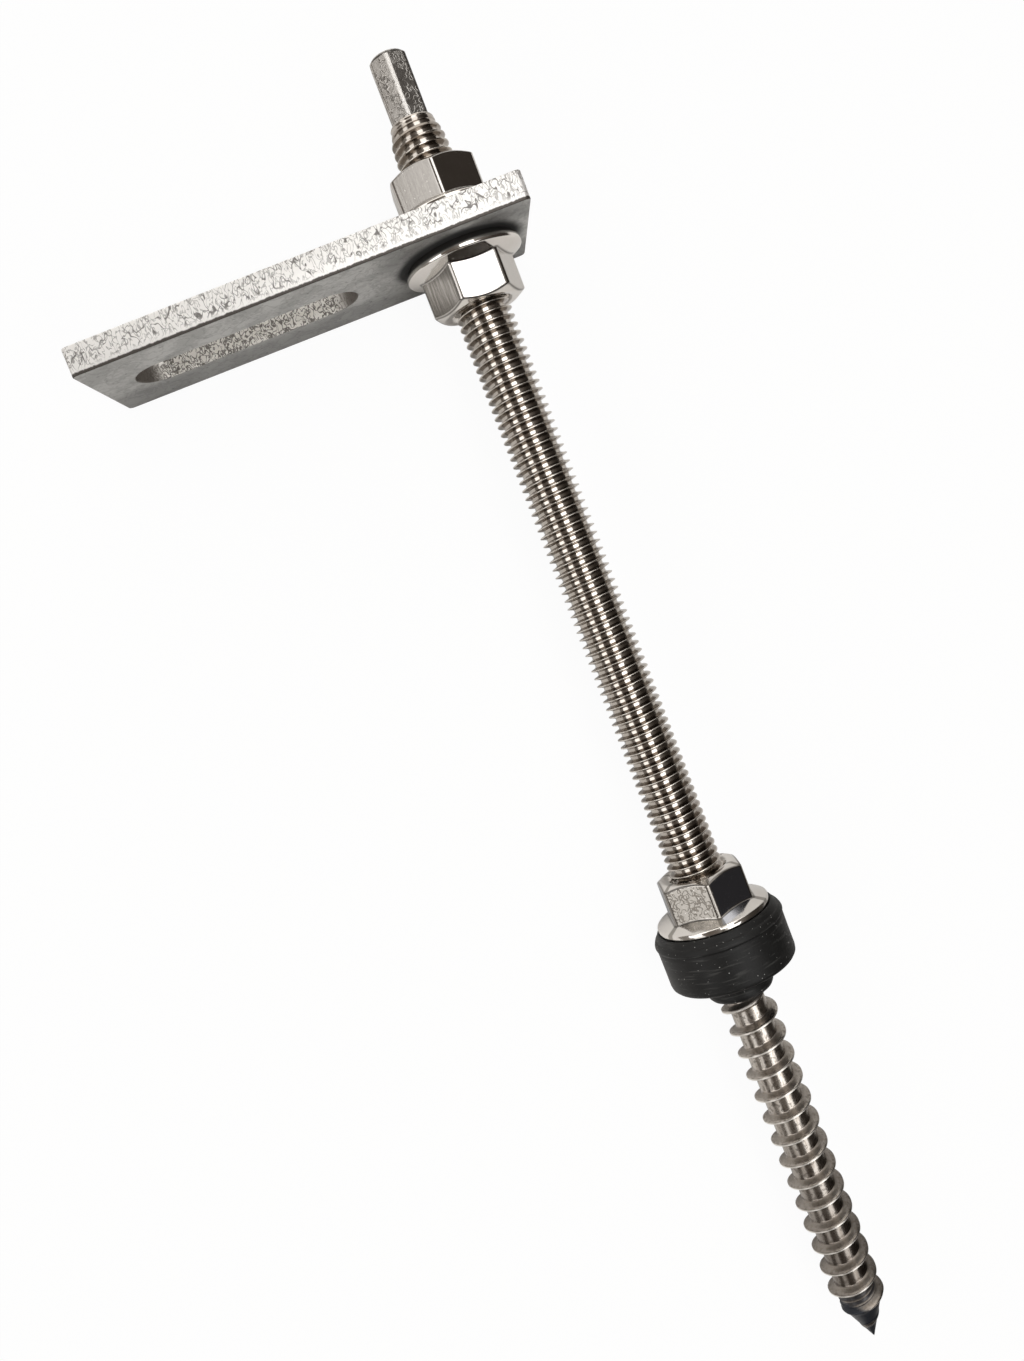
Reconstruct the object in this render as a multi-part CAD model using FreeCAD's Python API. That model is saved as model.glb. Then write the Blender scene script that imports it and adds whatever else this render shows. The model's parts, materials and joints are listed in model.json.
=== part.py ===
import FreeCAD, Part
import math
import os

# Solar hanger bolt, in millimetres. One stainless bolt carries three flange nuts, a slotted adapter
# plate for a mounting rail, and a rubber seal for the roof skin.
#
# Each piece is built on the bolt's own axis: z runs from the point (0) to the drive end, x runs along
# the adapter plate, and -y is the side that ends up on top. lying_placement then turns the assembly into
# the pose it rests in when it is put down: on the long edge of the plate and the rim of the seal.

# Bolt
BOLT_LENGTH = 250.0
THREAD_D = 10.0
THREAD_RUNOUT_D = 8.0
THREAD_RUNOUT_LENGTH = 6.5
DRIVE_AF = 6.5
DRIVE_CORNER_D = 7.3
DRIVE_LENGTH = 11.7
DRIVE_END_BREAK = 0.8
DRIVE_TURN = -13.0
BOLT_TURN = 11.0

# Wood thread
WOOD_LENGTH = 72.6
WOOD_PITCH = 4.5
WOOD_THREAD_D = 10.0
WOOD_CORE_D = 7.0
FLIGHT_CREST_WIDTH = 0.45
FLIGHT_FLANK_ANGLE = 22.0
FLIGHT_ROOT_DEPTH = 0.4
FLIGHT_RUNOUT_TURNS = 0.5
POINT_CORE_LENGTH = 8.3
POINT_FLIGHT_LENGTH = 9.5
POINT_BARE_LENGTH = 1.6
SECTIONS_PER_TURN = 10

# Flange nuts
NUT_AF = 15.0
NUT_HEIGHT = 10.0
NUT_FLANGE_D = 21.2
NUT_RIM_THICKNESS = 2.0
NUT_FOOT_BEVEL_WIDTH = 0.6
NUT_FOOT_BEVEL_HEIGHT = 1.0
NUT_CONE_ANGLE = 24.0
NUT_CHAMFER_D = 13.8
NUT_CHAMFER_ANGLE = 30.0
NUT_COUNTERSINK_D = 11.6
NUT_COUNTERSINK_ANGLE = 45.0
THREAD_CLEARANCE = 0.08

# Adapter plate
PLATE_LENGTH = 80.0
PLATE_WIDTH = 30.0
PLATE_THICKNESS = 5.0
PLATE_CORNER_R = 1.0
PLATE_HOLE_D = 11.0
PLATE_HOLE_FROM_END = 12.5
SLOT_WIDTH = 10.5
SLOT_LENGTH = 41.5
SLOT_FROM_END = 6.5

# Seal
SEAL_D = 24.5
SEAL_BODY_HEIGHT = 9.8
SEAL_SWELL_HEIGHT = 0.9
SEAL_SHOULDER_DROP = 1.4
SEAL_BAND_STEP = 0.25
SEAL_FOOT_BREAK = 0.7
SEAL_BOSS_D = 12.6
SEAL_BOSS_HEIGHT = 4.6
SEAL_BOSS_BREAK = 0.6
SEAL_LIP_HEIGHT = 2.0
SEAL_CLEARANCE = 0.08

# Places along the bolt, measured from its point
THREAD_ABOVE_TOP_NUT = 8.5
DRIVE_FOOT = BOLT_LENGTH - DRIVE_LENGTH
TOP_NUT_SEAT = DRIVE_FOOT - THREAD_ABOVE_TOP_NUT - NUT_HEIGHT
PLATE_UNDERSIDE = TOP_NUT_SEAT - PLATE_THICKNESS
SEAL_FOOT = WOOD_LENGTH + SEAL_CLEARANCE
SEAL_BODY_FOOT = SEAL_FOOT + SEAL_BOSS_HEIGHT
SEAL_TOP = SEAL_BODY_FOOT + SEAL_BODY_HEIGHT
THREAD_FOOT = SEAL_FOOT + SEAL_LIP_HEIGHT

# Each nut: its name, where its flange bears, the way it points and how far it is turned
FLANGE_NUTS = [
    ("top_flange_nut", TOP_NUT_SEAT, 1, 1.0),
    ("under_plate_flange_nut", PLATE_UNDERSIDE, -1, -22.0),
    ("seal_flange_nut", SEAL_TOP, 1, 0.0),
]


def turned(points):
    """A solid turned about the bolt's axis from the corners (radius, z) of its half section."""
    outline = Part.makePolygon([FreeCAD.Vector(radius, 0, z) for radius, z in points + points[:1]])
    return Part.Face(outline).revolve(FreeCAD.Vector(0, 0, 0), FreeCAD.Vector(0, 0, 1), 360)


def hexagon(across_flats, foot, height, turn):
    """A hexagonal prism with one corner towards -y before it is turned."""
    corner_r = across_flats / math.sqrt(3)
    corners = []
    for step in range(7):
        angle = math.radians(turn - 90 + 60 * step)
        corners.append(FreeCAD.Vector(corner_r * math.cos(angle), corner_r * math.sin(angle), foot))
    return Part.Face(Part.makePolygon(corners)).extrude(FreeCAD.Vector(0, 0, height))


def drive_end():
    """The hexagonal end that a socket drives the bolt by."""
    blank_r = DRIVE_CORNER_D / 2
    blank = turned([
        (0, DRIVE_FOOT - THREAD_RUNOUT_LENGTH),
        (blank_r, DRIVE_FOOT - THREAD_RUNOUT_LENGTH),
        (blank_r, BOLT_LENGTH - DRIVE_END_BREAK),
        (blank_r - DRIVE_END_BREAK, BOLT_LENGTH),
        (0, BOLT_LENGTH),
    ])
    return blank.common(hexagon(DRIVE_AF, DRIVE_FOOT - THREAD_RUNOUT_LENGTH,
                                DRIVE_LENGTH + THREAD_RUNOUT_LENGTH, DRIVE_TURN))


def bolt_body():
    """Machine-threaded rod, core of the wood thread and point, turned as one bar."""
    runout_foot = DRIVE_FOOT - THREAD_RUNOUT_LENGTH
    shoulder = (THREAD_RUNOUT_D - DRIVE_AF) / 2
    return turned([
        (0, 0),
        (WOOD_CORE_D / 2, POINT_CORE_LENGTH),
        (WOOD_CORE_D / 2, THREAD_FOOT),
        (THREAD_D / 2, THREAD_FOOT),
        (THREAD_D / 2, runout_foot),
        (THREAD_RUNOUT_D / 2, DRIVE_FOOT - shoulder),
        (DRIVE_AF / 2, DRIVE_FOOT),
        (0, DRIVE_FOOT),
    ])


def core_radius(z):
    """Radius of the wood thread's core, which narrows to the point."""
    return WOOD_CORE_D / 2 * min(1.0, max(z, 0.0) / POINT_CORE_LENGTH)


def crest_radius(z):
    """Radius of the flight's crest: it swells out from the point and sinks back at the top."""
    full = WOOD_THREAD_D / 2 * min(1.0, max(z, 0.0) / POINT_FLIGHT_LENGTH)
    sunk = core_radius(z) - FLIGHT_ROOT_DEPTH / 2
    left = (WOOD_LENGTH - z) / (WOOD_PITCH * FLIGHT_RUNOUT_TURNS)
    return sunk + (full - sunk) * min(1.0, max(0.0, left))


def flight_section(z, angle):
    """The flight cut by the half plane at one angle: a narrow crest on a wider root."""
    crest_r = crest_radius(z)
    root_r = core_radius(z) - FLIGHT_ROOT_DEPTH
    crest_half = FLIGHT_CREST_WIDTH / 2
    root_half = crest_half + (crest_r - root_r) * math.tan(math.radians(FLIGHT_FLANK_ANGLE))
    corners = [(root_r, -root_half), (crest_r, -crest_half), (crest_r, crest_half), (root_r, root_half)]
    points = [FreeCAD.Vector(r * math.cos(angle), r * math.sin(angle), z + rise) for r, rise in corners]
    return Part.makePolygon(points + points[:1])


def wood_flight():
    """The coarse right-hand flight, lofted a turn at a time from the neck down to the point."""
    turns = (WOOD_LENGTH - POINT_BARE_LENGTH) / WOOD_PITCH
    count = int(round(turns * SECTIONS_PER_TURN))
    sections = []
    for step in range(count + 1):
        drop = turns * step / count
        sections.append(flight_section(WOOD_LENGTH - drop * WOOD_PITCH, -2 * math.pi * drop))
    starts = range(0, count, SECTIONS_PER_TURN)
    return [Part.makeLoft(sections[at:at + SECTIONS_PER_TURN + 1], True, False) for at in starts]


def hanger_bolt():
    """The whole bolt, which is one piece of stainless bar, turned as far as it has been driven."""
    bolt = bolt_body().fuse([drive_end()] + wood_flight()).removeSplitter()
    bolt.rotate(FreeCAD.Vector(0, 0, 0), FreeCAD.Vector(0, 0, 1), BOLT_TURN)
    return bolt


def nut_flange():
    """The nut's round flange: a bevelled foot, a plain rim and a shallow cone above it."""
    edge = NUT_FLANGE_D / 2
    cone_rise = edge * math.tan(math.radians(NUT_CONE_ANGLE))
    return turned([
        (0, 0),
        (edge - NUT_FOOT_BEVEL_WIDTH, 0),
        (edge, NUT_FOOT_BEVEL_HEIGHT),
        (edge, NUT_RIM_THICKNESS),
        (0, NUT_RIM_THICKNESS + cone_rise),
    ])


def nut_hexagon():
    """The nut's hexagon, with its corners chamfered by a blunt cone at the free face."""
    chamfer_r = NUT_CHAMFER_D / 2
    blank_r = NUT_AF
    drop = (blank_r - chamfer_r) * math.tan(math.radians(NUT_CHAMFER_ANGLE))
    blank = turned([
        (0, 0),
        (blank_r, 0),
        (blank_r, NUT_HEIGHT - drop),
        (chamfer_r, NUT_HEIGHT),
        (0, NUT_HEIGHT),
    ])
    return hexagon(NUT_AF, 0, NUT_HEIGHT, 0).common(blank)


def flange_nut():
    """A flange nut standing on its bearing face at z = 0."""
    return nut_hexagon().fuse(nut_flange()).cut(nut_bore()).removeSplitter()


def nut_bore():
    """The nut's hole, opened by a countersink at the free face."""
    bore_r = THREAD_D / 2 + THREAD_CLEARANCE
    sink_r = NUT_COUNTERSINK_D / 2
    sink_depth = (sink_r - bore_r) / math.tan(math.radians(NUT_COUNTERSINK_ANGLE))
    return turned([
        (0, 0),
        (bore_r, 0),
        (bore_r, NUT_HEIGHT - sink_depth),
        (sink_r, NUT_HEIGHT),
        (0, NUT_HEIGHT),
    ])


def seat_nut(seat, way, turn):
    """A flange nut run onto the bolt, with its flange at the seat and its hexagon up or down."""
    nut = flange_nut()
    if way < 0:
        nut.rotate(FreeCAD.Vector(0, 0, 0), FreeCAD.Vector(0, 1, 0), 180)
    nut.rotate(FreeCAD.Vector(0, 0, 0), FreeCAD.Vector(0, 0, 1), turn)
    nut.translate(FreeCAD.Vector(0, 0, seat))
    return nut


def slot_cutter():
    """The rail slot's outline: two straight sides and two round ends, through the plate."""
    radius = SLOT_WIDTH / 2
    near = PLATE_HOLE_FROM_END - PLATE_LENGTH + SLOT_FROM_END + radius
    far = near + SLOT_LENGTH - SLOT_WIDTH
    z = PLATE_UNDERSIDE
    side_a = Part.makeLine(FreeCAD.Vector(near, -radius, z), FreeCAD.Vector(far, -radius, z))
    end_a = Part.Arc(FreeCAD.Vector(far, -radius, z), FreeCAD.Vector(far + radius, 0, z),
                     FreeCAD.Vector(far, radius, z)).toShape()
    side_b = Part.makeLine(FreeCAD.Vector(far, radius, z), FreeCAD.Vector(near, radius, z))
    end_b = Part.Arc(FreeCAD.Vector(near, radius, z), FreeCAD.Vector(near - radius, 0, z),
                     FreeCAD.Vector(near, -radius, z)).toShape()
    outline = Part.Wire([side_a, end_a, side_b, end_b])
    return Part.Face(outline).extrude(FreeCAD.Vector(0, 0, PLATE_THICKNESS))


def adapter_plate():
    """Flat bar with a round hole for the bolt at one end and a slot for the rail bolt."""
    corner = FreeCAD.Vector(PLATE_HOLE_FROM_END - PLATE_LENGTH, -PLATE_WIDTH / 2, PLATE_UNDERSIDE)
    plate = Part.makeBox(PLATE_LENGTH, PLATE_WIDTH, PLATE_THICKNESS, corner)
    upright = [edge for edge in plate.Edges
               if abs(edge.Vertexes[0].Z - edge.Vertexes[-1].Z) > PLATE_THICKNESS / 2]
    plate = plate.makeFillet(PLATE_CORNER_R, upright)
    hole = Part.makeCylinder(PLATE_HOLE_D / 2, PLATE_THICKNESS, FreeCAD.Vector(0, 0, PLATE_UNDERSIDE))
    return plate.cut([hole, slot_cutter()])


def seal_rims():
    """Radius and place of each rim of the seal's disc, from the lowest up."""
    outer_r = SEAL_D / 2
    body_r = outer_r - SEAL_BAND_STEP
    lip = SEAL_TOP - SEAL_SHOULDER_DROP
    foot_r = NUT_FLANGE_D / 2 - NUT_FOOT_BEVEL_WIDTH + SEAL_CLEARANCE
    swell_r = foot_r + NUT_FOOT_BEVEL_WIDTH * SEAL_SWELL_HEIGHT / NUT_FOOT_BEVEL_HEIGHT
    return [
        (body_r - SEAL_FOOT_BREAK, SEAL_BODY_FOOT),
        (body_r, SEAL_BODY_FOOT + SEAL_FOOT_BREAK),
        (body_r, lip - SEAL_BAND_STEP),
        (outer_r, lip),
        (swell_r, SEAL_TOP + SEAL_SWELL_HEIGHT),
        (foot_r, SEAL_TOP),
    ]


def rubber_seal():
    """Moulded seal: a disc that swells up round the nut's flange, and a boss round the bolt."""
    boss_r = SEAL_BOSS_D / 2
    lip_r = WOOD_CORE_D / 2 + SEAL_CLEARANCE
    bore_r = THREAD_D / 2 + SEAL_CLEARANCE
    boss = [
        (lip_r, SEAL_FOOT),
        (boss_r - SEAL_BOSS_BREAK, SEAL_FOOT),
        (boss_r, SEAL_FOOT + SEAL_BOSS_BREAK),
        (boss_r, SEAL_BODY_FOOT),
    ]
    bore = [
        (bore_r, SEAL_TOP),
        (bore_r, THREAD_FOOT - SEAL_CLEARANCE),
        (lip_r, THREAD_FOOT - SEAL_CLEARANCE),
    ]
    return turned(boss + seal_rims() + bore)


def rest_tilt():
    """Angle between the bolt and the ground, which touches one rim of the seal and the plate's edge."""
    angles = []
    for radius, z in seal_rims():
        rise = PLATE_WIDTH / 2 - radius
        angles.append(max(math.atan2(rise, edge - z) for edge in (PLATE_UNDERSIDE, TOP_NUT_SEAT)))
    return math.degrees(min(angles))


def lying_placement(shapes):
    """The turn from upright to lying, with the origin under the middle of the lying assembly's box."""
    point_forward = FreeCAD.Placement(FreeCAD.Matrix(0, 0, -1, 0, 1, 0, 0, 0, 0, -1, 0, 0, 0, 0, 0, 1))
    level = FreeCAD.Rotation(FreeCAD.Vector(0, 1, 0), rest_tilt())
    turn = FreeCAD.Placement(FreeCAD.Vector(0, 0, 0), level).multiply(point_forward)
    box = Part.makeCompound(shapes).transformed(turn.toMatrix()).optimalBoundingBox(False)
    under_middle = FreeCAD.Vector(-(box.XMin + box.XMax) / 2, -(box.YMin + box.YMax) / 2, -box.ZMin)
    return FreeCAD.Placement(under_middle, FreeCAD.Rotation()).multiply(turn)


def build():
    """Every piece by its node's name, in the lying pose."""
    shapes = {
        "hanger_bolt": hanger_bolt(),
        "adapter_plate": adapter_plate(),
        "rubber_seal": rubber_seal(),
    }
    for name, seat, way, turn in FLANGE_NUTS:
        shapes[name] = seat_nut(seat, way, turn)
    lying = lying_placement(list(shapes.values())).toMatrix()
    return {name: shape.transformed(lying) for name, shape in shapes.items()}


os.makedirs("parts", exist_ok=True)
for name, shape in build().items():
    shape.exportStep("parts/" + name + ".step")
    print(name, shape.isValid(), len(shape.Solids), round(shape.Volume, 1))
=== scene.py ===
import json
import math

import bpy
import numpy as np
from mathutils import Matrix, Vector


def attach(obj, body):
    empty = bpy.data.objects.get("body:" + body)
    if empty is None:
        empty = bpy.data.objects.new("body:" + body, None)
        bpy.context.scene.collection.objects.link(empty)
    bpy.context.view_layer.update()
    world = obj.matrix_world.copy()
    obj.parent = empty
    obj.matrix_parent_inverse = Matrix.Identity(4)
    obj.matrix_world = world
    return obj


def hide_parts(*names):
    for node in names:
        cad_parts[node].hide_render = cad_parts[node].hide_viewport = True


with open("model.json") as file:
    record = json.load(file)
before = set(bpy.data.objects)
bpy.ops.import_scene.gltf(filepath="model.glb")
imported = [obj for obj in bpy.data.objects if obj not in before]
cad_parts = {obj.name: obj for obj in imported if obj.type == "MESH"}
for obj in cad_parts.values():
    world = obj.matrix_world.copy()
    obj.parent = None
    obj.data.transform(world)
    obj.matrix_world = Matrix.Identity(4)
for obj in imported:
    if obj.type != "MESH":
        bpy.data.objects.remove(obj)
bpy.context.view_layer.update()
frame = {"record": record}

# Hanger bolt
# One stainless bar with a hexagonal drive end, a rolled machine thread and a coarse wood thread that ends
# in a blackened point. Its sizes are in millimetres in the bolt's own frame: from the point, Z runs along
# the bar, X to the plate's short end and Y to the ground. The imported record's mounts say where it lies.
mounts = {mount["name"]: Vector(mount["pos_m"]) for mount in frame["record"]["mounts"]}
BOLT_POINT = mounts["wood_thread"]
BOLT_AXIS = (mounts["drive_end"] - BOLT_POINT).normalized()
BOLT_LENGTH = (mounts["drive_end"] - BOLT_POINT).length * 1000
PLATE_WAY = Vector((0, 1, 0))
UNDER_WAY = BOLT_AXIS.cross(PLATE_WAY)
LYING = Matrix([PLATE_WAY, UNDER_WAY, BOLT_AXIS]).transposed()

# Machine thread. Its phase is the height of a crest over X, and its steps are those of one turn. The ridge
# pairs distances from the crest, in pitches, with shares of the thread's depth. The run-out pairs heights
# with the largest radius there.
MACHINE_PITCH = 1.5
MACHINE_CREST_R = 5.0
MACHINE_ROOT_R = 3.95
MACHINE_PHASE = 0.74
MACHINE_FOOT = 74.7
MACHINE_STEPS = 40
MACHINE_RIDGE = ((0, 0.035, 0.07, 0.105, 0.15, 0.23, 0.33), (1, 0.985, 0.92, 0.78, 0.56, 0.22, 0))
MACHINE_COLUMNS = (*MACHINE_RIDGE[0], 0.5)
MACHINE_RUNOUT = ((0, 232.0, 235.5, 237.2, 238.1), (5.0, 5.0, 4.75, 4.1, 3.98))

# Wood thread. The flight pairs distances from the crest, in millimetres, with shares of its depth. The
# columns of its skin are distances from the crest in pitches.
WOOD_PITCH = 4.5
WOOD_CREST_R = 5.0
WOOD_CORE_R = 3.5
WOOD_PHASE = 67.97
WOOD_HEAD = 72.6
WOOD_STEPS = 72
WOOD_FLIGHT = ((0, 0.18, 0.24, 0.80, 0.92, 1.02), (1, 1, 0.95, 0.08, 0.015, 0))
WOOD_COLUMNS = (0, 0.04, 0.053, 0.093, 0.133, 0.178, 0.204, 0.227, 0.27, 0.32, 0.45, 0.5)

# Point. The core and the flights narrow to it over their own lengths. Low ridges run between the flights,
# at these distances from the crest in pitches, and the last turns are partly filled.
POINT_CORE_LENGTH = 8.3
POINT_FLIGHT_LENGTH = 9.5
POINT_RIDGES = (0.27, 0.5)
POINT_RIDGE_REACH = 0.05
POINT_RIDGE_HEIGHT = 0.28
POINT_RIDGE_END = (12.0, 11.0)
POINT_FILL = 0.65
POINT_FILL_HEAD = (8.6, 7.6)

# Drive end. A short neck leads up to its hexagon, which is turned down at its end.
DRIVE_AF = 6.5
DRIVE_CORNER_R = 3.62
DRIVE_CORNER_TURN = -2
DRIVE_CORNER_SOFT = 0.05
DRIVE_FOOT = 238.3
DRIVE_SHOULDER = 239.0
DRIVE_NECK = ((3.98, 238.1), (3.88, DRIVE_FOOT))
DRIVE_BLANK_R = DRIVE_CORNER_R + 0.1
DRIVE_BREAK = 0.8
DRIVE_BREAK_SOFT = 0.12
DRIVE_COLUMNS = 24

# Stains, wear, painted shade and painted highlights of the bolt. A pair says at which radius, height or
# depth a mark begins and is full. The places on a flight are pitches from its crest. The groove's painted
# shade pairs heights with strengths.
GROOVE_SHADE_R = (4.93, 4.68)
GROOVE_ROOT_R = (4.15, 4.0)
GROOVE_SHADE = ((MACHINE_FOOT, 100, 145), (2.2, 2.1, 1.65))
CREST_RIM_R = 4.96
FLIGHT_RIM = (-0.065, 0.005)
FLIGHT_RIM_R = 4.3
FLIGHT_FOOT = 0.2
FLIGHT_FOOT_REACH = 0.07
FLANK_HEAD_R = (5.05, 4.15)
FLANK_FOOT_R = (3.52, 3.62)
TEMPER_HEIGHT = (56.0, 6.0)
NECK_STAIN_AND_SHADE_HEIGHT = (71.9, 72.1)
NECK_STAIN_AND_SHADE_R = (4.2, 3.9)
VALLEY_BLACK_HEIGHT = (12.3, 11.3)
VALLEY_BLACK_DEPTH = (0.18, 0.03)
POINT_BLACK_HEIGHT = (8.8, 8.3)
POINT_BLACK_SLANT = 0.33
POINT_GLINT = (2.5, 4.5)
DRIVE_CORNER_WEAR = 0.018
DRIVE_DARK_SIDE = 2.0
DRIVE_EDGE_DROP = 0.45
DRIVE_EDGE_BLACK = (0.26, 0.06)


def make_piece(name, points, faces, finishes, sharp=40):
    """A named mesh in metres from points in the bolt's own frame, smooth where it bends gently."""
    lying_points = np.asarray(points) @ np.array(LYING).T / 1000 + np.array(BOLT_POINT)
    mesh = bpy.data.meshes.new(name)
    mesh.from_pydata(lying_points.tolist(), [], faces)
    for finish in finishes:
        mesh.materials.append(finish)
    mesh.shade_smooth()
    mesh.set_sharp_from_angle(angle=math.radians(sharp))
    piece = bpy.data.objects.new(name, mesh)
    bpy.context.scene.collection.objects.link(piece)
    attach(piece, "root")
    return piece


def ring_faces(rows, columns, first=0):
    """Quads between rows of a skin whose columns close on themselves."""
    faces = []
    for row in range(rows - 1):
        for column in range(columns):
            corner = first + row * columns + column
            beside = first + row * columns + (column + 1) % columns
            faces.append((corner, beside, beside + columns, corner + columns))
    return faces


def ramp(values, start, end):
    """0 at one value, 1 at another, and straight between them."""
    return np.clip((values - start) / (end - start), 0, 1)


def near(values, middle, reach):
    """1 at a middle value, falling straight to 0 within its reach."""
    return np.clip(1 - np.abs(values - middle) / reach, 0, 1)


def helix_skin(pitch, phase, steps, half_columns, foot, head, radius_at):
    """A threaded skin with rows along the helix. Its columns stand on both sides of the crest alike."""
    columns = np.array([*half_columns, *(1 - column for column in half_columns[-2:0:-1])])
    first_turn = math.floor((foot - phase) / pitch) - 1
    count = (math.ceil((head - phase) / pitch) + 1 - first_turn) * steps
    width = len(columns)
    turns = first_turn + np.arange(count + 1)[:, None] / steps
    z = np.clip(phase + pitch * (turns + columns), foot, head)
    offset = (z - phase) / pitch - turns
    offset = offset - np.round(offset)
    radius = radius_at(z, offset)
    angle = np.broadcast_to(2 * np.pi * turns, z.shape)
    points = np.stack([radius * np.cos(angle), radius * np.sin(angle), z], axis=-1).reshape(-1, 3)
    faces = []
    for at in range(count):
        for column in range(width):
            corner = at * width + column
            if column < width - 1:
                faces.append((corner, corner + width, corner + width + 1, corner + 1))
            elif at + steps < count:
                above = (at + steps) * width
                faces.append((corner, corner + width, above + width, above))
    heights = points[:, 2]
    kept = [face for face in faces if np.ptp(heights[list(face)]) > 1e-6]
    return points, kept


def machine_radius(z, offset):
    """Radius of the rolled machine thread, with its run-out under the drive end."""
    rise = np.interp(np.abs(offset), *MACHINE_RIDGE)
    radius = MACHINE_ROOT_R + (MACHINE_CREST_R - MACHINE_ROOT_R) * rise
    return np.minimum(radius, np.interp(z, *MACHINE_RUNOUT))


def wood_radius(z, offset):
    """Radius of the wood thread: a thin flight on a core, which both narrow to the point."""
    core = WOOD_CORE_R * ramp(z, 0, POINT_CORE_LENGTH)
    full = WOOD_CREST_R * ramp(z, 0, POINT_FLIGHT_LENGTH)
    full = core + (full - core) * ramp(z, WOOD_HEAD, WOOD_HEAD - 0.5 * WOOD_PITCH)
    filled = ramp(z, *POINT_FILL_HEAD)
    core = core + POINT_FILL * filled * (full - core)
    rise = np.interp(np.abs(offset) * WOOD_PITCH, *WOOD_FLIGHT)
    ridge = sum(near(np.abs(offset), at, POINT_RIDGE_REACH) for at in POINT_RIDGES)
    ridge = ridge * POINT_RIDGE_HEIGHT * ramp(z, *POINT_RIDGE_END) * (1 - filled)
    return np.maximum(core + (full - core) * rise, core + ridge * core / WOOD_CORE_R)


machine_points, machine_faces = helix_skin(
    MACHINE_PITCH, MACHINE_PHASE, MACHINE_STEPS, MACHINE_COLUMNS,
    MACHINE_FOOT, MACHINE_RUNOUT[0][-1], machine_radius)
wood_points, wood_faces = helix_skin(
    WOOD_PITCH, WOOD_PHASE, WOOD_STEPS, WOOD_COLUMNS, 0, MACHINE_FOOT, wood_radius)


def softer(first, second, reach):
    """The smaller of two radii, rounded where they meet."""
    share = np.clip(0.5 + 0.5 * (second - first) / reach, 0, 1)
    return second * (1 - share) + first * share - reach * share * (1 - share)


def hexagon_radius(angle, apothem, corner_r, corner_turn, reach):
    """Distance from a hexagon's centre to its side at an angle, its corners cut flat and softened."""
    swing = (angle - corner_turn + np.pi / 6) % (np.pi / 3) - np.pi / 6
    return softer(apothem / np.cos(np.pi / 6 - np.abs(swing)), corner_r / np.cos(swing), reach)


def corner_angles(corner_turn, columns_per_face):
    """Angles round a hexagon, crowded towards its corners."""
    spread = np.linspace(-1, 1, columns_per_face, endpoint=False)
    crowded = np.sin(spread * np.pi / 2) * np.pi / 6
    angles = [corner_turn + np.pi / 6 + face * np.pi / 3 + crowded for face in range(6)]
    return np.concatenate(angles)


def row_points(rows, angles):
    """Points of a skin from each row's height and its radius, which may change from angle to angle."""
    rings = []
    for radius, z in rows:
        ring = (radius * np.cos(angles), radius * np.sin(angles), np.full(len(angles), z))
        rings.append(np.stack(ring, axis=-1))
    return np.concatenate(rings)


drive_turn = math.radians(DRIVE_CORNER_TURN - 90)
drive_angles = corner_angles(drive_turn, DRIVE_COLUMNS)
drive_side = hexagon_radius(drive_angles, DRIVE_AF / 2, DRIVE_CORNER_R, drive_turn, DRIVE_CORNER_SOFT)
drive_rows = list(DRIVE_NECK)
for z in (DRIVE_FOOT, DRIVE_SHOULDER, *np.linspace(BOLT_LENGTH - 1, BOLT_LENGTH, 11)):
    blank = DRIVE_BLANK_R - max(z - BOLT_LENGTH + DRIVE_BREAK, 0)
    drive_rows.append((softer(drive_side, blank, DRIVE_BREAK_SOFT), z))
drive_points = row_points(drive_rows, drive_angles)


class Socket:
    """An output of a node. Arithmetic on it adds Math nodes to its own tree."""

    def __init__(self, output):
        self.output = output

    def maths(self, operation, *values):
        tree = self.output.id_data
        node = tree.nodes.new("ShaderNodeMath")
        node.operation = operation
        for slot, value in zip(node.inputs, values):
            if isinstance(value, Socket):
                tree.links.new(value.output, slot)
            else:
                slot.default_value = value
        return Socket(node.outputs[0])

    def __add__(self, other):
        return self.maths("ADD", self, other)

    def __radd__(self, other):
        return self.maths("ADD", other, self)

    def __sub__(self, other):
        return self.maths("SUBTRACT", self, other)

    def __rsub__(self, other):
        return self.maths("SUBTRACT", other, self)

    def __mul__(self, other):
        return self.maths("MULTIPLY", self, other)

    def __rmul__(self, other):
        return self.maths("MULTIPLY", other, self)

    def __truediv__(self, other):
        return self.maths("DIVIDE", self, other)

    def __pow__(self, other):
        return self.maths("POWER", self, other)

    def __abs__(self):
        return self.maths("ABSOLUTE", self)


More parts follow.
